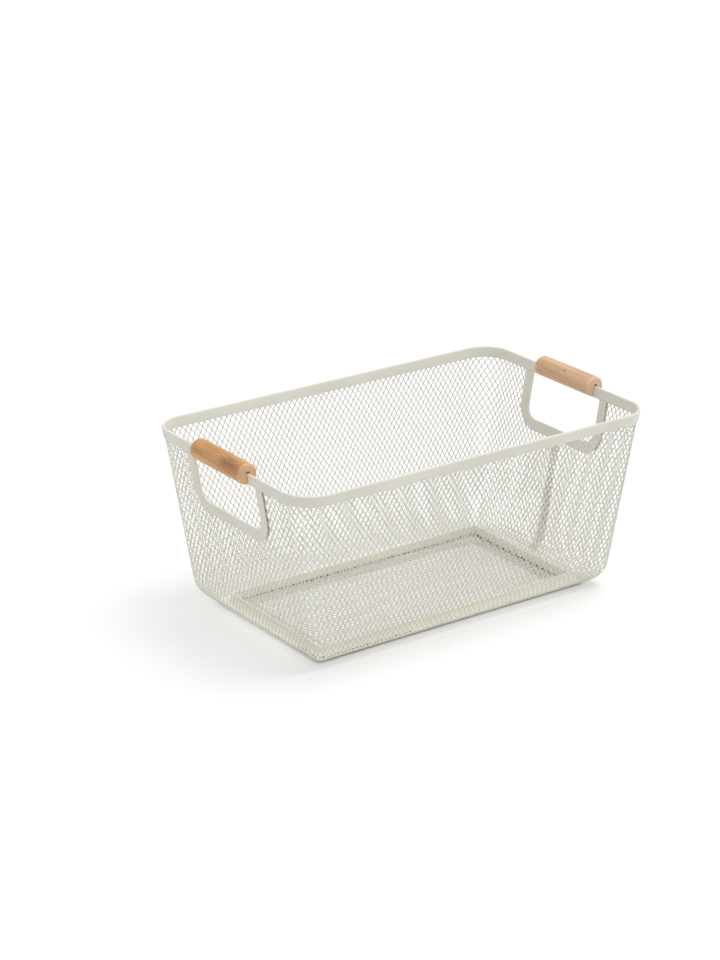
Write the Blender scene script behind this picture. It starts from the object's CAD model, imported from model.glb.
"""Looks of a mesh storage basket: expanded steel sheet, folded steel rim, wooden grips."""

import math
from functools import partial

import bmesh
import bpy
import numpy as np
from bpy.props import FloatProperty, FloatVectorProperty, IntProperty, PointerProperty
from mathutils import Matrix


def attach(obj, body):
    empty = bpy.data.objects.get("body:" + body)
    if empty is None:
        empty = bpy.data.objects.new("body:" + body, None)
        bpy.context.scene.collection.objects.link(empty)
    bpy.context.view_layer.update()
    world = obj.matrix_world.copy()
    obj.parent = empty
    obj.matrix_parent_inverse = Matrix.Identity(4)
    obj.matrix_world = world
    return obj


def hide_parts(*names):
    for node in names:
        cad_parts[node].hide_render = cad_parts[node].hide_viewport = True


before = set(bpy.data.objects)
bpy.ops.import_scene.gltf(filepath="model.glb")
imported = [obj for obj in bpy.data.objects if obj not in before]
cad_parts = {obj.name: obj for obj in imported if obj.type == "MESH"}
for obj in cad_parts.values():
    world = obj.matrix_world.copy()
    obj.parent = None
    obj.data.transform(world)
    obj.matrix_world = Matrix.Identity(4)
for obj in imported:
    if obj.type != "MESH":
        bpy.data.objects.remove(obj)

bl_info = {
    "name": "Mesh storage basket",
    "version": (1, 0, 0),
    "blender": (4, 5, 0),
    "location": "View3D > Sidebar > Basket",
    "description": "Builds the mesh, rim, hand hole frames and grips of a storage basket",
    "category": "Object",
}

SIDES = ("front", "right", "back", "left")
LONG_SIDES = ("front", "back")
ENDS = ("right", "left")
OUTWARD = {"front": (0, -1, 0), "right": (1, 0, 0), "back": (0, 1, 0), "left": (-1, 0, 0)}
COAT_LIGHT = (0.800, 0.785, 0.695)
COAT_DEEP = (0.755, 0.740, 0.650)
COAT_SHADES = {"cream_coat": 1.0, "strand_coat": 0.93, "pressed_coat": 1.14}
BUMP_DEPTH = 0.0002
SMOOTH_BELOW = math.radians(38)
NUDGE = 1e-6


def length(name, description, default):
    return FloatProperty(name=name, description=description, default=default, unit="LENGTH", min=0.0)


def angle(name, description, degrees):
    return FloatProperty(name=name, description=description, default=math.radians(degrees), subtype="ANGLE")


def number(name, description, default):
    return FloatProperty(name=name, description=description, default=default, min=0.0)


class BasketBody(bpy.types.PropertyGroup):
    """Sizes of the sheet's middle surface."""

    rim_length: length("Rim length", "Long side at the rim", 0.400)
    rim_width: length("Rim width", "Short side at the rim", 0.245)
    rim_corner: length("Rim corner", "Corner radius at the rim", 0.029)
    rim_height: length("Rim height", "Floor to the top of the rim", 0.180)
    base_length: length("Base length", "Long side of the flat floor", 0.292)
    base_width: length("Base width", "Short side of the flat floor", 0.150)
    base_corner: length("Base corner", "Corner radius of the flat floor", 0.004)
    bend_radius: length("Bend radius", "Radius of the bend between floor and wall", 0.0275)
    sheet: length("Sheet", "Thickness of the sheet", 0.001)


class BasketNet(bpy.types.PropertyGroup):
    """Expanded sheet."""

    pitch_across: length("Pitch across", "Distance between openings in a row", 0.0058)
    pitch_up: length("Pitch up", "Distance between openings in a column", 0.0091)
    strand_width: length("Strand width", "Width of a strand in the sheet", 0.00072)
    strand_depth: length("Strand depth", "Thickness of a strand through the sheet", 0.0005)
    roundness: number("Roundness", "How far strands bow to round the openings", 0.7)
    wander: number("Wander", "Unevenness of the stretch, in openings", 1.6)
    layer_step: number("Layer step", "Distance between two layers of net, in strand depths", 1.1)
    hem_height: length("Hem height", "Turned-up edge of the floor sheet", 0.0095)
    hem_depth: length("Hem depth", "Thickness of the folded edge", 0.0018)
    hem_lean: length("Hem lean", "How far the top of the edge leans out", 0.001)
    hem_flare: length("Hem flare", "How far the foot of the hem curves out onto the bend", 0.007)
    skirt: length("Skirt", "Pressed part of the bend outside the hem", 0.0098)
    opening_length: length("Opening length", "Length of an opening along the crease", 0.0029)
    opening_depth: length("Opening depth", "Depth of an opening along the crease", 0.0014)
    opening_height: length("Opening height", "Height of an opening along the crease", 0.0012)
    opening_pitch: number("Opening pitch", "Distance along the crease, in openings of the net", 0.7)
    inner_proud: length("Inner row proud", "How far the inner row stands off the hem", 0.0008)
    inner_lift: length("Inner row lift", "Height of the inner row above the sheet", 0.0013)
    outer_place: number("Outer row place", "Place of the outer row, as a share of the skirt", 0.7)
    outer_lift: length("Outer row lift", "Height of the outer row above the sheet", 0.0018)
    outer_scale: number("Outer row scale", "Size of the outer row's openings", 0.9)
    skirt_near: length("Skirt near face", "Outer face of the pressed part, inside the sheet", 0.0003)
    skirt_far: length("Skirt far face", "Inner face of the pressed part, inside the sheet", 0.0009)
    skirt_ripple: length("Skirt ripple", "Height of the ribs on the pressed part", 0.0002)
    margin_width: length("Margin width", "Turned-in edge of the wall sheet, on the floor", 0.016)
    rib_pitch: length("Rib pitch", "Distance between the ribs of the pressed hem", 0.0024)
    rib_height: length("Rib height", "Height of the ribs of the pressed hem", 0.0003)
    rib_slant: number("Rib slant", "How far a rib leans over the hem's height, in ribs", 0.8)
    seam_width: length("Seam width", "Overlap of the wall sheet's two ends", 0.011)
    seam_start: number("Seam start", "Where the overlap begins, as a share of the bend", 0.4)
    seam_widen: number("Seam widen", "Width of the overlap's strands, in strand widths", 2.6)


class BasketTrim(bpy.types.PropertyGroup):
    """Folded rim and hand hole frames."""

    half_depth: length("Half depth", "Half the thickness of the folded strip", 0.0015)
    leaf: length("Leaf", "Thickness of the strip's metal", 0.0007)
    rim_leg: length("Rim leg", "Height of the rim", 0.0107)
    hole_width: length("Hole width", "Width of a hand hole", 0.100)
    hole_height: length("Hole height", "Height of a hand hole under the rim", 0.0445)
    hole_corner: length("Hole corner", "Corner radius of a hand hole", 0.013)
    strip: length("Strip", "Width of the hand hole frame", 0.011)
    steps: IntProperty(name="Steps", description="Steps round a corner of the rim", default=14, min=4)


class BasketGrip(bpy.types.PropertyGroup):
    """Wooden grips."""

    diameter: length("Diameter", "Dowel diameter", 0.020)
    reach: length("Length", "Dowel length", 0.082)
    end_round: length("End round", "Radius of the rounded ends", 0.0028)
    drop: length("Drop", "Dowel axis below the top of the rim", 0.001)
    slot_above: length("Slot above rim", "Gap between the rim and the end of the slot", 0.002)
    slot_width: length("Slot width", "Width of the slot", 0.0036)
    slot_edge: length("Slot edge", "Chamfer on the slot's edges", 0.0005)


class BasketStage(bpy.types.PropertyGroup):
    """Camera and light."""

    azimuth: angle("Azimuth", "Camera turn", -35.602)
    elevation: angle("Elevation", "Camera rise", 21.331)
    place: FloatVectorProperty(
        name="Camera",
        description="Camera position",
        default=(-1.39113, -1.87383, 1.02676),
        subtype="TRANSLATION",
    )
    focal: number("Focal length", "Lens for a 36 mm tall sensor", 99.79)
    key_turn: angle("Key turn", "Direction the main light comes from", 70.0)
    key_rise: angle("Key rise", "Height of the main light", 70.0)
    key_spread: angle("Key spread", "Softness of the main light", 34.0)
    key_strength: number("Key strength", "Strength of the main light", 1.15)
    sky_low: number("Low sky", "Light from the horizon", 0.66)
    sky_high: number("High sky", "Added light from overhead", 0.28)
    sky_tilt: number("Sky tilt", "Added share of light from the right", 0.12)
    floor_size: length("Floor size", "Side of the floor", 8.0)


def settings():
    return bpy.context.scene


class Walls:
    """The sheet's middle surface, by share along a side and distance up from the floor's edge."""

    def __init__(self):
        body = settings().basket_body
        self.rim_half = np.array([body.rim_length, body.rim_width]) / 2
        self.base_half = np.array([body.base_length, body.base_width]) / 2
        self.radius = body.bend_radius
        self.corners = (body.base_corner, body.rim_corner)
        self.sheet = body.sheet
        self.top = body.rim_height - body.sheet / 2
        run = self.rim_half[0] - self.base_half[0]
        rise = self.top - self.radius
        self.lean = math.atan2(run, rise) - math.asin(self.radius / math.hypot(run, rise))
        self.bend_top = self.radius * (1 - math.sin(self.lean))
        self.bend_length = self.radius * (math.pi / 2 - self.lean)

    def height(self, climb):
        """Height above the floor sheet at a distance up the bend and wall."""
        angle = np.clip(climb, 0, self.bend_length) / self.radius
        straight = np.maximum(0, climb - self.bend_length) * math.cos(self.lean)
        return self.radius * (1 - np.cos(angle)) + straight

    def climb(self, z):
        """Distance up the bend and wall at a height on the wall."""
        return self.bend_length + (z - self.bend_top) / math.cos(self.lean)

    def level(self, z):
        """Half length, half width and corner radius of the level cut at a height."""
        bent = np.clip(z, 0, self.bend_top)
        bulge = np.sqrt(2 * self.radius * bent - bent * bent)
        share = np.clip((z - self.bend_top) / (self.top - self.bend_top), 0, None)
        half = [
            (base + bulge) * (1 - share) + rim * share for base, rim in zip(self.base_half, self.rim_half)
        ]
        low, high = self.corners
        return half[0], half[1], low + (high - low) * z / self.top

    def run(self, side, z):
        """Straight length of a side and half the length of a corner, at a height."""
        half_x, half_y, corner = self.level(z)
        straight = (half_x if side in LONG_SIDES else half_y) - corner
        return 2 * straight, corner * math.pi / 4

    def point(self, side, share, climb):
        """Points of a side that reaches from the middle of one corner to the middle of the next."""
        z = self.height(np.asarray(climb))
        straight, bend = self.run(side, z)
        along = np.asarray(share) * (straight + 2 * bend)
        middle = np.clip((along - bend) / straight, 0, 1) * 2 - 1
        before = np.clip(along - bend, None, 0)
        after = np.clip(along - bend - straight, 0, None)
        turn = (before + after) / bend * math.pi / 4
        half_x, half_y, corner = self.level(z)
        facing, across = (half_y, half_x) if side in LONG_SIDES else (half_x, half_y)
        out = facing - corner + corner * np.cos(turn)
        over = middle * (across - corner) + corner * np.sin(turn)
        x, y = {
            "front": (over, -out),
            "right": (out, over),
            "back": (-over, out),
            "left": (-out, -over),
        }[side]
        return np.stack(np.broadcast_arrays(x, y, z), axis=-1)

    def end_point(self, y, climb):
        """Points of the right end wall by distance from its middle."""
        z = self.height(np.asarray(climb))
        half_x, _, _ = self.level(z)
        return np.stack(np.broadcast_arrays(half_x, y, z), axis=-1)

    def lifted(self, surface, u, v, lift):
        """Points moved off a surface along its outward normal and set on the shared floor."""
        across = surface(u + NUDGE, v) - surface(u - NUDGE, v)
        up = surface(u, v + NUDGE) - surface(u, v - NUDGE)
        normal = np.cross(across, up)
        normal /= np.maximum(np.linalg.norm(normal, axis=-1, keepdims=True), 1e-20)
        place = surface(u, v) + normal * np.asarray(lift)[..., None]
        return place + np.array([0, 0, self.sheet / 2])


def half_turn(points):
    return points * np.array([-1, -1, 1])


def linked(name, data):
    """A new object in the scene."""
    obj = bpy.data.objects.new(name, data)
    bpy.context.scene.collection.objects.link(obj)
    return obj


def sheet_object(name, points, flat, keep=None):
    """A mesh object from a grid of points, with flat coordinates for laying a net on it."""
    rows, columns = points.shape[:2]
    mesh = bpy.data.meshes.new(name)
    faces = []
    for j in range(rows - 1):
        for i in range(columns - 1):
            if keep is None or keep[j, i]:
                low = j * columns + i
                high = low + columns
                faces.append((low, low + 1, high + 1, high))
    mesh.from_pydata(points.reshape(-1, 3).tolist(), [], faces)
    layer = mesh.uv_layers.new(name="flat")
    plain = flat.reshape(-1, 2)
    for loop in mesh.loops:
        layer.data[loop.index].uv = plain[loop.vertex_index]
    return linked(name, mesh)


def swept_object(name, stations, closed, material):
    """A closed body through rings of points, one ring per station."""
    count = stations.shape[1]
    total = stations.shape[0]
    faces = []
    for k in range(total if closed else total - 1):
        here = k * count
        after = (k + 1) % total * count
        for j in range(count):
            step = (j + 1) % count
            faces.append((here + j, after + j, after + step, here + step))
    if not closed:
        faces.append(tuple(range(count)))
        faces.append(tuple((total - 1) * count + j for j in reversed(range(count))))
    mesh = bpy.data.meshes.new(name)
    mesh.from_pydata(stations.reshape(-1, 3).tolist(), [], faces)
    return finished_object(name, mesh, material, smooth=True)


def finished_object(name, mesh, material, smooth=False):
    """A mesh object with outward faces and one material."""
    shape = bmesh.new()
    shape.from_mesh(mesh)
    bmesh.ops.recalc_face_normals(shape, faces=shape.faces)
    for face in shape.faces:
        face.smooth = smooth
    if smooth:
        for edge in shape.edges:
            edge.smooth = len(edge.link_faces) == 2 and edge.calc_face_angle() < SMOOTH_BELOW
    shape.to_mesh(mesh)
    shape.free()
    mesh.materials.clear()
    mesh.materials.append(material)
    return linked(name, mesh)


def settle(obj, slot, *nodes):
    """Ties a finished piece to the frame."""
    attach(obj, "root")
    if nodes:
        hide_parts(*nodes)


class Sock:
    """A node output that takes part in plain arithmetic."""

    def __init__(self, graph, socket):
        self.graph = graph
        self.socket = socket

    def math(self, operation, *values):
        numbered = dict(enumerate(values))
        return self.graph.node("ShaderNodeMath", numbered, operation=operation)

    def __add__(self, other):
        return self.math("ADD", self, other)

    __radd__ = __add__

    def __sub__(self, other):
        return self.math("SUBTRACT", self, other)

    def __rsub__(self, other):
        return self.math("SUBTRACT", other, self)

    def __mul__(self, other):
        return self.math("MULTIPLY", self, other)

    __rmul__ = __mul__

    def __truediv__(self, other):
        return self.math("DIVIDE", self, other)

    def __rtruediv__(self, other):
        return self.math("DIVIDE", other, self)

    def fraction(self):
        return self.math("FRACT", self)

    def root(self):
        return self.math("SQRT", self)

    def ramp(self, low, high):
        """0 below low, 1 above high, smooth between."""
        values = {"Value": self, "From Min": low, "From Max": high}
        return self.graph.node("ShaderNodeMapRange", values, interpolation_type="SMOOTHSTEP")

    def axes(self):
        return [self.graph.node("ShaderNodeSeparateXYZ", {0: self}, out=k) for k in range(3)]


class Graph:
    """Adds nodes to a tree, with values or links for their inputs."""

    def __init__(self, tree):
        self.tree = tree

    def node(self, kind, values=None, out=0, **options):
        node = self.tree.nodes.new(kind)
        for key, value in options.items():
            setattr(node, key, value)
        for key, value in (values or {}).items():
            socket = node.inputs[key]
            if isinstance(value, Sock):
                self.tree.links.new(value.socket, socket)
            else:
                socket.default_value = value
        return Sock(self, node.outputs[out]) if node.outputs else node

    def other(self, sock, name):
        return Sock(self, sock.socket.node.outputs[name])

    def blend(self, share, first, second):
        """Colour between two colours: sockets 0, 6 and 7 are the share and the colours."""
        return self.node("ShaderNodeMix", {0: share, 6: first, 7: second}, out=2, data_type="RGBA")

    def noise(self, place, scale, detail=2.0):
        values = {"Vector": place, "Scale": scale, "Detail": detail}
        return self.node("ShaderNodeTexNoise", values)

    def vector(self, x, y, z):
        return self.node("ShaderNodeCombineXYZ", {0: x, 1: y, 2: z})


def new_material(name):
    material = bpy.data.materials.new(name)
    material.use_nodes = True
    material.node_tree.nodes.clear()
    return material, Graph(material.node_tree)


def surface_of(graph, colour, roughness, bump=None, strength=0.1):
    """Shader of a piece, with a fine bump where one is given."""
    values = {"Base Color": colour, "Roughness": roughness}
    if bump is not None:
        values["Normal"] = graph.node(
            "ShaderNodeBump", {"Height": bump, "Strength": strength, "Distance": BUMP_DEPTH}
        )
    shader = graph.node("ShaderNodeBsdfPrincipled", values)
    graph.node("ShaderNodeOutputMaterial", {"Surface": shader})


def place_of(graph):
    return graph.node("ShaderNodeTexCoord", out="Object")


def coat_material(name):
    """Cream powder coat with a fine pebbled surface and slight unevenness."""
    material, graph = new_material(name)
    place = place_of(graph)
    drift = graph.noise(place, 14.0, 3.0).ramp(0.35, 0.65)
    grain = graph.noise(place, 900.0, 1.0)
    shade = COAT_SHADES[name]
    light, deep = [tuple(part * shade for part in colour) + (1.0,) for colour in (COAT_LIGHT, COAT_DEEP)]
    surface_of(graph, graph.blend(drift, deep, light), grain * 0.12 + 0.42, grain, 0.12)
    return material


def shadow_material():
    """Inside of the openings along the folded crease."""
    material, graph = new_material("crease_shadow")
    drift = graph.noise(place_of(graph), 300.0)
    colour = graph.blend(drift, (0.030, 0.028, 0.020, 1.0), (0.08, 0.075, 0.055, 1.0))
    surface_of(graph, colour, 0.9)
    return material


def wood_material(name, light, deep, heart, knot=None, dot=None):
    """Wood whose grain runs along the grip, with pale ends, and a long dark figure or a small dot.

    heart is the middle of the year rings. knot and dot are the middle and the size of the figure and of
    the dot, along x, y and z.
    """
    material, graph = new_material(name)
    x, y, z = place_of(graph).axes()

    def grain(squeeze, scale, detail):
        """Noise drawn out along the grip."""
        return graph.noise(graph.vector(x, y * squeeze, z), scale, detail)

    def away(middle, size):
        """Square of the distance from a middle, in sizes."""
        steps = [(part - start) / unit for part, start, unit in zip((x, y, z), middle, size)]
        return sum(step * step for step in steps)

    ring_shift = 0.006
    rings_per_metre = 420.0
    from_heart_x = x - heart[0]
    from_heart_z = z - heart[1]
    reach = (from_heart_x * from_heart_x + from_heart_z * from_heart_z).root()
    reach = reach + (grain(0.12, 60.0, 3.0) - 0.5) * ring_shift
    if knot:
        swell = 1.0 / (away(*knot) + 1.0)
        reach = reach + swell * ring_shift
    rings = (reach * rings_per_metre).fraction()
    late = rings.ramp(0.35, 0.9) - rings.ramp(0.9, 1.0)
    fibre = grain(0.035, 1900.0, 2.0)
    fleck = grain(0.16, 1300.0, 1.0).ramp(0.66, 0.74)
    broad = grain(0.2, 70.0, 2.0)
    tone = late * 0.2 + fibre * 0.35 + broad.ramp(0.3, 0.7) * 0.45
    colour = graph.blend(tone.ramp(0.1, 1.0), light, deep)
    dark = (deep[0] * 0.55, deep[1] * 0.42, deep[2] * 0.35, 1.0)
    if knot:
        figure = swell.ramp(0.2, 0.9) * (broad * 0.5 + late * 0.3 + 0.4)
        colour = graph.blend(figure, colour, dark)
    half = settings().basket_grip.reach / 2
    pale = tuple(1.0 - (1.0 - part) * 0.80 for part in light[:3]) + (1.0,)
    pale_starts, pale_full = 0.0042, 0.0016
    near_end = (y * y).root().ramp(half - pale_starts, half - pale_full)
    colour = graph.blend(near_end * 0.55, colour, pale)
    if dot:
        spot = 1.0 - away(*dot).root().ramp(0.5, 1.1)
        colour = graph.blend(spot * 0.75, colour, dark)
    colour = graph.blend(fleck * 0.25, colour, dark)
    surface_of(graph, colour, fibre * 0.15 + 0.42, fibre + fleck * 0.4, 0.10)
    return material


def floor_material():
    """White floor that keeps the object's shadow."""
    material, graph = new_material("pale_floor")
    drift = graph.noise(place_of(graph), 2.0)
    white = graph.blend(drift, (0.93, 0.93, 0.93, 1.0), (0.95, 0.95, 0.95, 1.0))
    seen = graph.node("ShaderNodeLightPath", out="Is Camera Ray")
    colour = graph.blend(seen, (0.80, 0.80, 0.80, 1.0), white)
    shader = graph.node("ShaderNodeBsdfDiffuse", {"Color": colour})
    graph.node("ShaderNodeOutputMaterial", {"Surface": shader})
    return material


def new_tree(name, inputs, output):
    """A node tree with named inputs of given kinds and one geometry as its result."""
    tree = bpy.data.node_groups.new(name, "GeometryNodeTree")
    tree.is_modifier = True
    for title, kind in inputs.items():
        tree.interface.new_socket(title, in_out="INPUT", socket_type=f"NodeSocket{kind}")
    tree.interface.new_socket(output, in_out="OUTPUT", socket_type="NodeSocketGeometry")
    graph = Graph(tree)
    start = graph.node("NodeGroupInput")
    return graph, [graph.other(start, title) for title in inputs]


def net_tree():
    """Lays an expanded net on a guide surface by the guide's flat coordinates.

    A square grid turned by an eighth gives the diamonds, so each grid edge is one strand, in three steps.
    Strands bow to round the openings, wander a little inside the guide's edges, and are dropped where they
    leave the guide.
    """
    inputs = {
        "Guide": "Geometry",
        "Columns": "Int",
        "Rows": "Int",
        "Strand width": "Float",
        "Strand depth": "Float",
        "Roundness": "Float",
        "Wander": "Float",
        "Material": "Material",
    }
    graph, sockets = new_tree("expanded_net", inputs, "Net")
    guide, columns, rows, width, depth, roundness, wander, material = sockets
    strand_steps = 3.0
    span = columns + rows
    count = span * strand_steps + 1.0
    grid = graph.node(
        "GeometryNodeMeshGrid",
        {"Size X": span, "Size Y": span, "Vertices X": count, "Vertices Y": count},
    )
    place = graph.node("GeometryNodeInputPosition")
    x, y, _ = place.axes()
    x = x + span / 2.0
    y = y + span / 2.0
    half_step = 0.5 / strand_steps
    off_x = (x + half_step).fraction() - half_step
    off_y = (y + half_step).fraction() - half_step
    on_x = off_x.math("LESS_THAN", off_x, half_step)
    on_y = off_y.math("LESS_THAN", off_y, half_step)
    strands_only = 1.0 - on_x.math("MAXIMUM", on_x, on_y)

    def bow(share):
        return (share * share * 3.0 - share * share * share * 2.0 - share) * roundness

    turned_u = (x - y + bow(off_x) - bow(off_y)) / columns / 2.0 + 0.5
    turned_v = (x + y - span) / rows / 2.0 + 0.5
    within_u = (turned_u * (1.0 - turned_u) * 4.0).ramp(0.0, 1.0)
    within_v = (turned_v * (1.0 - turned_v) * 4.0).ramp(0.0, 1.0)
    inside = within_u * within_v * wander
    patch = 24.0
    stretch_u, stretch_v = [
        graph.noise(graph.vector(x / patch, y / patch, layer), 1.0) - 0.5 for layer in (0.0, 7.0)
    ]
    moved_u = turned_u + stretch_u * inside / columns
    moved_v = turned_v + stretch_v * inside / rows
    flat = graph.vector(moved_u, moved_v, 0.0)
    source = graph.node("GeometryNodeInputNamedAttribute", {"Name": "flat"}, data_type="FLOAT_VECTOR")
    landed, facing = [
        graph.node(
            "GeometryNodeSampleUVSurface",
            {"Mesh": guide, "Value": value, "UV Map": source, "Sample UV": flat},
            data_type="FLOAT_VECTOR",
        )
        for value in (place, graph.node("GeometryNodeInputNormal"))
    ]
    strands = graph.node(
        "GeometryNodeDeleteGeometry",
        {"Geometry": grid, "Selection": strands_only},
        domain="POINT",
    )
    noted = graph.node(
        "GeometryNodeStoreNamedAttribute",
        {"Geometry": strands, "Name": "facing", "Value": facing},
        data_type="FLOAT_VECTOR",
        domain="POINT",
    )
    noted = graph.node(
        "GeometryNodeStoreNamedAttribute",
        {"Geometry": noted, "Name": "missing", "Value": 1.0 - graph.other(landed, "Is Valid")},
        data_type="FLOAT",
        domain="POINT",
    )
    laid = graph.node("GeometryNodeSetPosition", {"Geometry": noted, "Position": landed})
    missing = graph.node("GeometryNodeInputNamedAttribute", {"Name": "missing"}, data_type="FLOAT")
    laid = graph.node(
        "GeometryNodeDeleteGeometry",
        {"Geometry": laid, "Selection": missing},
        domain="POINT",
    )
    curve = graph.node("GeometryNodeMeshToCurve", {"Mesh": laid})
    normal = graph.node("GeometryNodeInputNamedAttribute", {"Name": "facing"}, data_type="FLOAT_VECTOR")
    upright = graph.node("GeometryNodeSetCurveNormal", {"Curve": curve, "Normal": normal}, mode="FREE")
    section = graph.node("GeometryNodeCurvePrimitiveQuadrilateral", {"Width": depth, "Height": width})
    swept = graph.node("GeometryNodeCurveToMesh", {"Curve": upright, "Profile Curve": section})
    real = graph.node("GeometryNodeRealizeInstances", {"Geometry": swept})
    flat_faces = graph.node("GeometryNodeSetShadeSmooth", {"Geometry": real, "Shade Smooth": False})
    coated = graph.node("GeometryNodeSetMaterial", {"Geometry": flat_faces, "Material": material})
    graph.node("NodeGroupOutput", {"Net": coated})
    return graph.tree


def dots_tree():
    """Sets small dark openings along an edge line."""
    inputs = {
        "Line": "Geometry",
        "Pitch": "Float",
        "Opening length": "Float",
        "Opening depth": "Float",
        "Opening height": "Float",
        "Material": "Material",
    }
    graph, sockets = new_tree("crease_openings", inputs, "Openings")
    line, pitch, reach, depth, height, material = sockets
    curve = graph.node("GeometryNodeMeshToCurve", {"Mesh": line})
    spread = graph.node("GeometryNodeResampleCurve", {"Curve": curve, "Length": pitch}, mode="LENGTH")
    bead = graph.node("GeometryNodeMeshIcoSphere", {"Radius": 0.5, "Subdivisions": 1})
    along = graph.node(
        "FunctionNodeAlignRotationToVector",
        {"Vector": graph.node("GeometryNodeInputTangent")},
        axis="X",
    )
    # Sockets 2 and 3 are the range of a float, and 8 is the seed.
    uneven = graph.node("FunctionNodeRandomValue", {2: 0.7, 3: 1.2, 8: 7}, out=1, data_type="FLOAT")
    placed = graph.node(
        "GeometryNodeInstanceOnPoints",
        {
            "Points": spread,
            "Instance": bead,
            "Rotation": along,
            "Scale": graph.vector(reach * uneven, depth, height * uneven),
        },
    )
    real = graph.node("GeometryNodeRealizeInstances", {"Geometry": placed})
    coated = graph.node("GeometryNodeSetMaterial", {"Geometry": real, "Material": material})
    graph.node("NodeGroupOutput", {"Openings": coated})
    return graph.tree


def grown(obj, tree, **inputs):
    """Runs a node tree on an object and keeps the result as its plain mesh."""
    modifier = obj.modifiers.new(tree.name, "NODES")
    modifier.node_group = tree
    known = {item.name: item.identifier for item in tree.interface.items_tree if item.in_out == "INPUT"}
    for name, value in inputs.items():
        modifier[known[name.replace("_", " ").capitalize()]] = value
    obj.update_tag()
    bpy.context.view_layer.update()
    depsgraph = bpy.context.evaluated_depsgraph_get()
    mesh = bpy.data.meshes.new_from_object(obj.evaluated_get(depsgraph))
    obj.modifiers.remove(modifier)
    if not mesh.polygons:
        raise RuntimeError(f"{obj.name}: the node tree made nothing")
    spare = obj.data
    obj.data = mesh
    mesh.name = obj.name
    bpy.data.meshes.remove(spare)
    return obj


def tree_named(name, maker):
    return bpy.data.node_groups.get(name) or maker()


def material_named(name, maker):
    return bpy.data.materials.get(name) or maker()


def coat(name="cream_coat"):
    return material_named(name, partial(coat_material, name))


def net_on(name, points, flat, columns, rows, keep=None, widen=1.0, wander=0.0):
    """A net laid on a grid of points."""
    net = settings().basket_net
    return grown(
        sheet_object(name, points, flat, keep),
        tree_named("expanded_net", net_tree),
        columns=columns,
        rows=rows,
        strand_width=net.strand_width * widen,
        strand_depth=net.strand_depth,
        roundness=net.roundness,
        wander=wander,
        material=coat("strand_coat"),
    )


def flat_grid(columns, rows):
    """Flat coordinates from just below 0 to just above 1."""
    beyond = 0.0004
    u, v = [np.linspace(-beyond, 1 + beyond, count + 1) for count in (columns, rows)]
    return np.stack(np.meshgrid(u, v), axis=-1)


def joined(first, *rest):
    """Puts the meshes of several objects of one material into the first."""
    shape = bmesh.new()
    material = next(filter(None, first.data.materials))
    for obj in (first, *rest):
        shape.from_mesh(obj.data)
    for face in shape.faces:
        face.material_index = 0
    first.data.materials.clear()
    first.data.materials.append(material)
    shape.to_mesh(first.data)
    shape.free()
    for obj in rest:
        bpy.data.objects.remove(obj)
    return first


def channel_section(reach):
    """Section of a folded strip, as depths from the fold and lifts off the sheet."""
    trim = settings().basket_trim
    outer = trim.half_depth
    inner = outer - trim.leaf
    arc = [
        (outer - outer * math.sin(angle), outer * math.cos(angle))
        for angle in np.linspace(0, math.pi, 9)
    ]
    lip = trim.leaf * 0.3
    pairs = (
        [(reach - lip, outer)]
        + arc
        + [(reach - lip, -outer), (reach, -outer + lip), (reach, -inner - lip), (reach - lip, -inner)]
        + [(outer, -inner), (outer, inner)]
        + [(reach - lip, inner), (reach, inner + lip), (reach, outer - lip)]
    )
    return np.array(pairs).T


class BASKET_OT_walls(bpy.types.Operator):
    """Lay the expanded net on the four walls and their bottom bends"""

    bl_idname = "basket.walls"
    bl_label = "Walls"

    def execute(self, context):
        walls = Walls()
        net = settings().basket_net
        trim = settings().basket_trim
        sheet_top = walls.climb(walls.top - trim.half_depth - walls.sheet / 2)
        rows = round(sheet_top / net.pitch_up)
        hole_low = walls.climb(walls.top - trim.rim_leg - trim.hole_height) - trim.leaf
        hole_half = trim.hole_width / 2 + trim.leaf
        for side in SIDES:
            straight, bend = walls.run(side, walls.top / 2)
            columns = round((straight + 2 * bend) / net.pitch_across)
            flat = flat_grid(2 * columns, 3 * rows)
            surface = partial(walls.point, side)
            points = walls.lifted(surface, flat[..., 0], flat[..., 1] * sheet_top, 0 * flat[..., 0])
            keep = None
            nodes = [f"mesh_{side}", f"bend_{side}"]
            if side in ENDS:
                middle = (flat[:-1, :-1] + flat[1:, 1:]) / 2
                y = np.abs(points[:-1, :-1, 1] + points[1:, 1:, 1]) / 2
                round_low = hole_low + trim.hole_corner
                over = np.maximum(y - hole_half + trim.hole_corner, 0)
                under = np.maximum(round_low - middle[..., 1] * sheet_top, 0)
                in_corner = np.hypot(over, under) < trim.hole_corner
                keep = ~(in_corner & (y < hole_half))
                nodes = [f"mesh_{side}_under_hole", f"bend_{side}"]
                nodes += [f"mesh_{side}_beside_hole_{part}" for part in "ab"]
            else:
                for end in ENDS:
                    nodes += [f"mesh_corner_{side}_{end}", f"bend_corner_{side}_{end}"]
            wall = net_on(f"wall_{side}", points, flat, columns, rows, keep, wander=net.wander)
            settle(wall, "coated_steel", *nodes)
        return {"FINISHED"}


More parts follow.
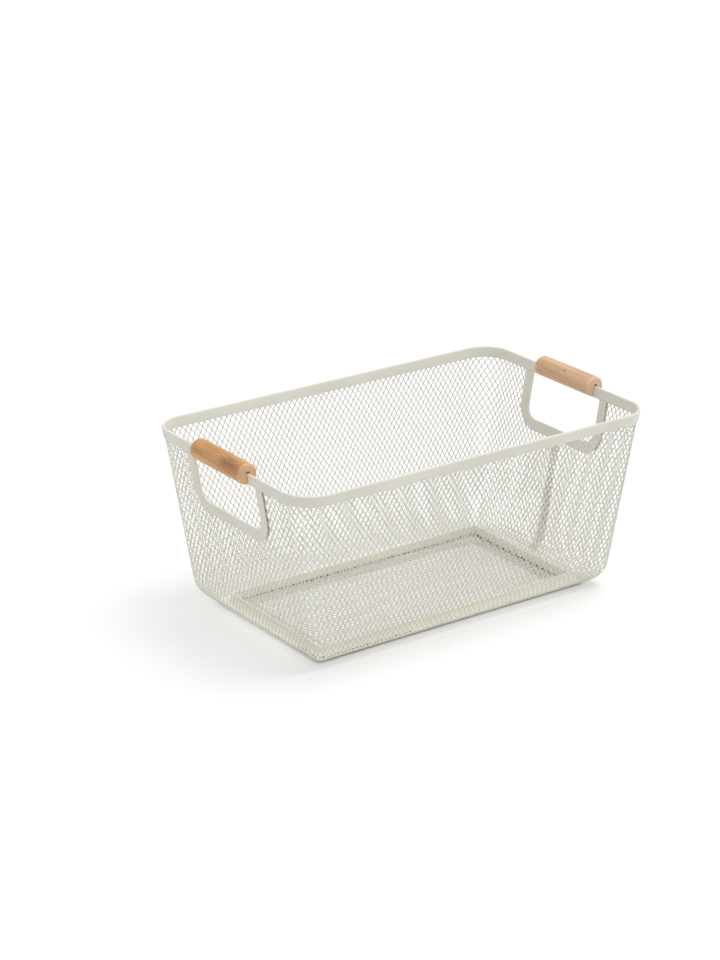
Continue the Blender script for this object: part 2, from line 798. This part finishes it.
class BASKET_OT_floor(bpy.types.Operator):
    """Lay the floor net and the turned-in margin of the wall sheet round it"""

    bl_idname = "basket.floor"
    bl_label = "Floor"

    def execute(self, context):
        walls = Walls()
        net = settings().basket_net
        half = walls.base_half
        columns = round(2 * half[0] / net.pitch_across)
        rows = round(2 * half[1] / net.pitch_up)
        parts = []

        def piece(name, low, high, z, count_x, count_y, wander=0.0):
            flat = flat_grid(8, 8)
            x = low[0] + (high[0] - low[0]) * flat[..., 0]
            y = low[1] + (high[1] - low[1]) * flat[..., 1]
            points = np.stack([x, y, 0 * x + z], axis=-1)
            parts.append(net_on(name, points, flat, count_x, count_y, wander=wander))

        level = walls.sheet / 2
        piece("floor_net", -half, half, level, columns, rows, net.wander)
        step = np.array([net.pitch_across, net.pitch_up])
        margin = net.margin_width
        count = np.maximum(1, np.round(margin / step)).astype(int)
        above = level + net.strand_depth * net.layer_step
        inside = half - step / 4
        long_count = int(round(2 * inside[0] / step[0]))
        short_count = int(round(2 * (inside[1] - margin) / step[1]))
        for sign in (-1, 1):
            low = np.array([-inside[0], min(sign * inside[1], sign * (inside[1] - margin))])
            high = np.array([inside[0], low[1] + margin])
            piece("margin_long", low, high, above, long_count, int(count[1]))
            low = np.array([min(sign * inside[0], sign * (inside[0] - margin)), margin - inside[1]])
            high = np.array([low[0] + margin, inside[1] - margin])
            piece("margin_short", low, high, above, int(count[0]), short_count)
        floor = joined(*parts)
        floor.name = "floor_sheet"
        settle(floor, "coated_steel", "floor_mesh")
        return {"FINISHED"}


class BASKET_OT_hem(bpy.types.Operator):
    """Press the floor sheet's turned-up edge and the bend outside it, and mark the openings there"""

    bl_idname = "basket.hem"
    bl_label = "Hem"

    def execute(self, context):
        walls = Walls()
        net = settings().basket_net
        share_up = np.linspace(0, 1, 7)
        foot = walls.sheet / 2
        rings = []
        for side in SIDES:
            share, ribs = self.stations(walls, side)
            foot_line = partial(walls.point, side, climb=0 * share)
            line = foot_line(share)
            ahead = foot_line(share + NUDGE) - foot_line(share - NUDGE)
            outward = np.stack([ahead[:, 1], -ahead[:, 0], 0 * share], axis=-1)
            outward /= np.linalg.norm(outward, axis=-1, keepdims=True)
            uneven = 0.03 * np.sin(share * 9.0) + 0.02 * np.sin(share * 23.0)
            high = net.hem_height * (1 + uneven)
            ring = []
            faces = ((0.0, net.hem_flare, share_up), (net.hem_depth, 0.0, share_up[::-1]))
            for depth, flare, order in faces:
                for up in order:
                    wave = np.sin(2 * math.pi * (share * ribs + net.rib_slant * up))
                    out = flare * (1 - up) ** 2 + net.hem_lean * up
                    back = depth - out + net.rib_height * (1 + wave)
                    point = line - outward * back[:, None]
                    point[:, 2] = foot + high * up
                    ring.append(point)
            rings.append(np.stack(ring, axis=1))
        hem = swept_object("floor_hem", np.concatenate(rings), True, coat("pressed_coat"))
        skirt = swept_object("skirt", self.skirt(walls), True, coat("pressed_coat"))
        joined(hem, skirt)
        settle(hem, "coated_steel", *[f"floor_lap_{side}" for side in SIDES])

        inner = self.ring(walls, 0.0, -net.hem_depth - net.inner_proud, net.inner_lift)
        outer = self.ring(walls, net.skirt * net.outer_place, 0.0, net.outer_lift)
        # The row's last points are on the left side and its first ones on the front.
        end_of_left, start_of_front = 8, 14
        near_corner = np.roll(outer, end_of_left, axis=0)[: end_of_left + start_of_front]
        dots = joined(
            self.openings("inner", np.concatenate([inner, inner[:1]]), 1.0),
            self.openings("outer", near_corner, net.outer_scale),
        )
        dots.name = "crease_openings"
        settle(dots, "coated_steel")
        return {"FINISHED"}

    def stations(self, walls, side):
        """Four places to each rib along a side, and the number of ribs."""
        across = 2 * walls.base_half[0 if side in LONG_SIDES else 1]
        ribs = round(across / settings().basket_net.rib_pitch)
        return np.arange(4 * ribs) / (4 * ribs), ribs

    def skirt(self, walls):
        """Rings of the pressed part of the bend, from the crease outward."""
        net = settings().basket_net
        stops = (0.1, 0.4, 0.7, 1.0)
        rings = []
        for side in SIDES:
            share, ribs = self.stations(walls, side)
            wave = net.skirt_ripple * np.sin(2 * math.pi * share * ribs)
            ring = []
            for inward, order in ((net.skirt_near, stops), (net.skirt_far, stops[::-1])):
                for out in order:
                    climb = np.full(len(share), out * net.skirt)
                    ring.append(walls.lifted(partial(walls.point, side), share, climb, -inward - wave))
            rings.append(np.stack(ring, axis=1))
        return np.concatenate(rings)

    def ring(self, walls, climb, out, lift):
        """A closed line round the foot of the walls."""
        line = []
        least_climb = 1e-5
        for side in SIDES:
            share = np.linspace(0, 1, 40)[:-1]
            point = walls.point(side, share, np.full(len(share), max(climb, least_climb)))
            line.append(point + out * np.array(OUTWARD[side]))
        line = np.concatenate(line)
        line[:, 2] += walls.sheet / 2 + lift
        return line

    def openings(self, name, line, scale):
        """Small dark openings along a line."""
        net = settings().basket_net
        mesh = bpy.data.meshes.new(name)
        mesh.from_pydata(line.tolist(), [(k, k + 1) for k in range(len(line) - 1)], [])
        return grown(
            linked(name, mesh),
            tree_named("crease_openings", dots_tree),
            pitch=net.pitch_across * net.opening_pitch,
            opening_length=net.opening_length * scale,
            opening_depth=net.opening_depth * scale,
            opening_height=net.opening_height * scale,
            material=material_named("crease_shadow", shadow_material),
        )


class BASKET_OT_seam(bpy.types.Operator):
    """Lay the second layer of net where the wall sheet's two ends overlap"""

    bl_idname = "basket.seam"
    bl_label = "Seam"

    def execute(self, context):
        walls = Walls()
        net = settings().basket_net
        trim = settings().basket_trim
        high = walls.climb(walls.top - trim.rim_leg - trim.hole_height - trim.strip)
        low = walls.bend_length * net.seam_start
        columns = round(net.seam_width / net.pitch_across)
        rows = round((high - low) / net.pitch_up)
        flat = flat_grid(4, 3 * rows)
        y = (flat[..., 0] - 0.5) * net.seam_width + net.pitch_across / 4
        climb = low + (high - low) * flat[..., 1]
        points = walls.lifted(walls.end_point, y, climb, 0 * y - net.strand_depth * net.layer_step)
        seam = net_on("wall_seam", points, flat, columns, rows, widen=net.seam_widen)
        settle(seam, "coated_steel", "wall_seam_lap")
        return {"FINISHED"}


class BASKET_OT_rim(bpy.types.Operator):
    """Fold the rim over the top edge of the wall sheet"""

    bl_idname = "basket.rim"
    bl_label = "Rim"

    def execute(self, context):
        walls = Walls()
        trim = settings().basket_trim
        depth, lift = channel_section(trim.rim_leg)
        climb = walls.climb(walls.top - depth)
        stations = []
        for side in SIDES:
            straight, bend = walls.run(side, walls.top)
            corner = bend / (straight + 2 * bend)
            first = np.linspace(0, corner, trim.steps // 2 + 1)
            share = np.concatenate([first, [0.35, 0.5, 0.65], (1 - first[::-1])[:-1]])
            for part in share:
                across = np.full(len(lift), part)
                stations.append(walls.lifted(partial(walls.point, side), across, climb, lift))
        rim = swept_object("rim", np.array(stations), True, coat())
        settle(rim, "coated_steel", "rim_band")
        return {"FINISHED"}


class BASKET_OT_frames(bpy.types.Operator):
    """Fold a strip round each hand hole"""

    bl_idname = "basket.frames"
    bl_label = "Hand hole frames"

    def execute(self, context):
        walls = Walls()
        trim = settings().basket_trim
        half = trim.hole_width / 2
        low = walls.top - trim.rim_leg - trim.hole_height
        top = walls.top - trim.rim_leg + trim.leaf
        radius = trim.hole_corner
        line = [((half, z), (1, 0)) for z in np.linspace(top, low + radius, 4)]
        for angle in np.linspace(0, math.pi / 2, 11)[1:]:
            out = (math.cos(angle), -math.sin(angle))
            line.append(((half - radius + radius * out[0], low + radius + radius * out[1]), out))
        line += [((-y, z), (-a, b)) for (y, z), (a, b) in reversed(line)]
        depth, lift = channel_section(trim.strip)
        stations = []
        for (y, z), (a, b) in line:
            climb = walls.climb(z + b * depth)
            stations.append(walls.lifted(walls.end_point, y + a * depth, climb, lift))
        right = np.array(stations)
        for end, points in (("right", right), ("left", half_turn(right))):
            strip = swept_object(f"hole_frame_{end}", points, False, coat())
            settle(strip, "coated_steel", f"hand_hole_frame_{end}")
        return {"FINISHED"}


class BASKET_OT_grips(bpy.types.Operator):
    """Turn the two dowels and cut the slots that the rim stands in"""

    bl_idname = "basket.grips"
    bl_label = "Grips"

    def execute(self, context):
        walls = Walls()
        grip = settings().basket_grip
        radius = grip.diameter / 2
        half = grip.reach / 2
        slot = grip.slot_width / 2
        top = grip.drop + grip.slot_above
        steps = np.linspace(0, math.pi / 2, 7)
        inset = [grip.end_round * (1 - math.sin(step)) for step in steps]
        along = [-half + grip.end_round * (1 - math.cos(step)) for step in steps]
        stops = list(zip(along, inset))
        stops += [(y, 0.0) for y in np.linspace(-half, half, 9)[1:-1]]
        stops += [(-y, inner) for y, inner in reversed(list(zip(along, inset)))]
        stations = []
        for y, inner in stops:
            ring = self.section(radius - inner, slot, top, grip.slot_edge)
            stations.append([(x, y, z) for x, z in ring])
        stations = np.array(stations)
        turn = np.array([
            [math.cos(walls.lean), 0, math.sin(walls.lean)],
            [0, 1, 0],
            [-math.sin(walls.lean), 0, math.cos(walls.lean)],
        ])
        centre = np.array([
            walls.rim_half[0] - grip.drop * math.sin(walls.lean),
            0,
            walls.top - grip.drop * math.cos(walls.lean) + walls.sheet / 2,
        ])
        right = stations @ turn.T + centre
        woods = {
            "right": wood_material(
                "pale_beech",
                light=(0.75, 0.500, 0.310, 1.0),
                deep=(0.56, 0.325, 0.170, 1.0),
                heart=(centre[0] + 0.022, centre[2] - 0.018),
                dot=((centre[0] - 0.007, -0.002, centre[2] + 0.0075), (0.0016, 0.0016, 0.0016)),
            ),
            "left": wood_material(
                "warm_beech",
                light=(0.74, 0.425, 0.180, 1.0),
                deep=(0.45, 0.190, 0.050, 1.0),
                heart=(-centre[0] - 0.028, centre[2] - 0.012),
                knot=((-centre[0] - 0.0072, -0.0205, centre[2] + 0.0062), (0.0050, 0.015, 0.0050)),
            ),
        }
        for end, points in (("right", right), ("left", half_turn(right))):
            dowel = swept_object(f"dowel_{end}", points, False, woods[end])
            settle(dowel, "beech", f"grip_{end}")
        return {"FINISHED"}

    def section(self, radius, slot, top, soft):
        """Outline of a slotted dowel, from one lip of the slot round to the other and up the slot."""
        start = math.asin((slot + soft) / radius)
        ring = []
        for angle in np.linspace(start, 2 * math.pi - start, 49):
            ring.append((-radius * math.sin(angle), -radius * math.cos(angle)))
        low = -math.sqrt(radius * radius - slot * slot) + soft
        ring += [(slot, low), (slot, top - soft), (slot - soft, top), (soft - slot, top)]
        ring += [(-slot, top - soft), (-slot, low)]
        return ring


class BASKET_OT_stage(bpy.types.Operator):
    """Set the floor, lights, white surroundings and camera"""

    bl_idname = "basket.stage"
    bl_label = "Stage"

    def execute(self, context):
        stage = settings().basket_stage
        size = stage.floor_size / 2
        mesh = bpy.data.meshes.new("floor")
        corners = [(-size, -size, 0), (size, -size, 0), (size, size, 0), (-size, size, 0)]
        mesh.from_pydata(corners, [], [(0, 1, 2, 3)])
        floor = finished_object("floor", mesh, floor_material())

        world = bpy.data.worlds.new("studio")
        world.use_nodes = True
        world.node_tree.nodes.clear()
        graph = Graph(world.node_tree)
        camera_ray = graph.node("ShaderNodeLightPath", out="Is Camera Ray")
        right, _, high = graph.node("ShaderNodeTexCoord", out="Generated").axes()
        strength = (high * high * stage.sky_high + stage.sky_low) * (right * stage.sky_tilt + 1.0)
        surround = graph.node("ShaderNodeBackground", {"Color": (1, 1, 1, 1), "Strength": strength})
        backdrop = graph.node("ShaderNodeBackground", {"Color": (1, 1, 1, 1), "Strength": 1.0})
        both = graph.node("ShaderNodeMixShader", {0: camera_ray, 1: surround, 2: backdrop})
        graph.node("ShaderNodeOutputWorld", {"Surface": both})
        context.scene.world = world

        data = bpy.data.lights.new("key", "SUN")
        data.energy = stage.key_strength
        data.angle = stage.key_spread
        key = linked("key", data)
        key.rotation_euler = (math.pi / 2 - stage.key_rise, 0, stage.key_turn)

        lens = bpy.data.cameras.new("photo_camera")
        lens.sensor_fit = "VERTICAL"
        lens.sensor_height = 36.0
        lens.lens = stage.focal
        camera = linked("photo_camera", lens)
        camera.location = stage.place
        camera.rotation_euler = (math.pi / 2 - stage.elevation, 0, stage.azimuth)
        context.scene.camera = camera
        context.scene.view_settings.view_transform = "Standard"
        return {"FINISHED"}


class BASKET_PT_panel(bpy.types.Panel):
    """Lists the steps that build the basket"""

    bl_idname = "BASKET_PT_panel"
    bl_label = "Mesh storage basket"
    bl_space_type = "VIEW_3D"
    bl_region_type = "UI"
    bl_category = "Basket"

    def draw(self, context):
        for step in STEPS:
            self.layout.operator(step.bl_idname)


GROUPS = {
    "basket_body": BasketBody,
    "basket_net": BasketNet,
    "basket_trim": BasketTrim,
    "basket_grip": BasketGrip,
    "basket_stage": BasketStage,
}
STEPS = (
    BASKET_OT_walls,
    BASKET_OT_floor,
    BASKET_OT_hem,
    BASKET_OT_seam,
    BASKET_OT_rim,
    BASKET_OT_frames,
    BASKET_OT_grips,
    BASKET_OT_stage,
)


def register():
    for name, group in GROUPS.items():
        bpy.utils.register_class(group)
        setattr(bpy.types.Scene, name, PointerProperty(type=group))
    for step in (*STEPS, BASKET_PT_panel):
        bpy.utils.register_class(step)


def unregister():
    for step in reversed((*STEPS, BASKET_PT_panel)):
        bpy.utils.unregister_class(step)
    for name, group in GROUPS.items():
        delattr(bpy.types.Scene, name)
        bpy.utils.unregister_class(group)


def main():
    register()
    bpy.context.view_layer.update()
    for step in STEPS:
        section, name = step.bl_idname.split(".")
        getattr(getattr(bpy.ops, section), name)()


if __name__ == "__main__":
    main()
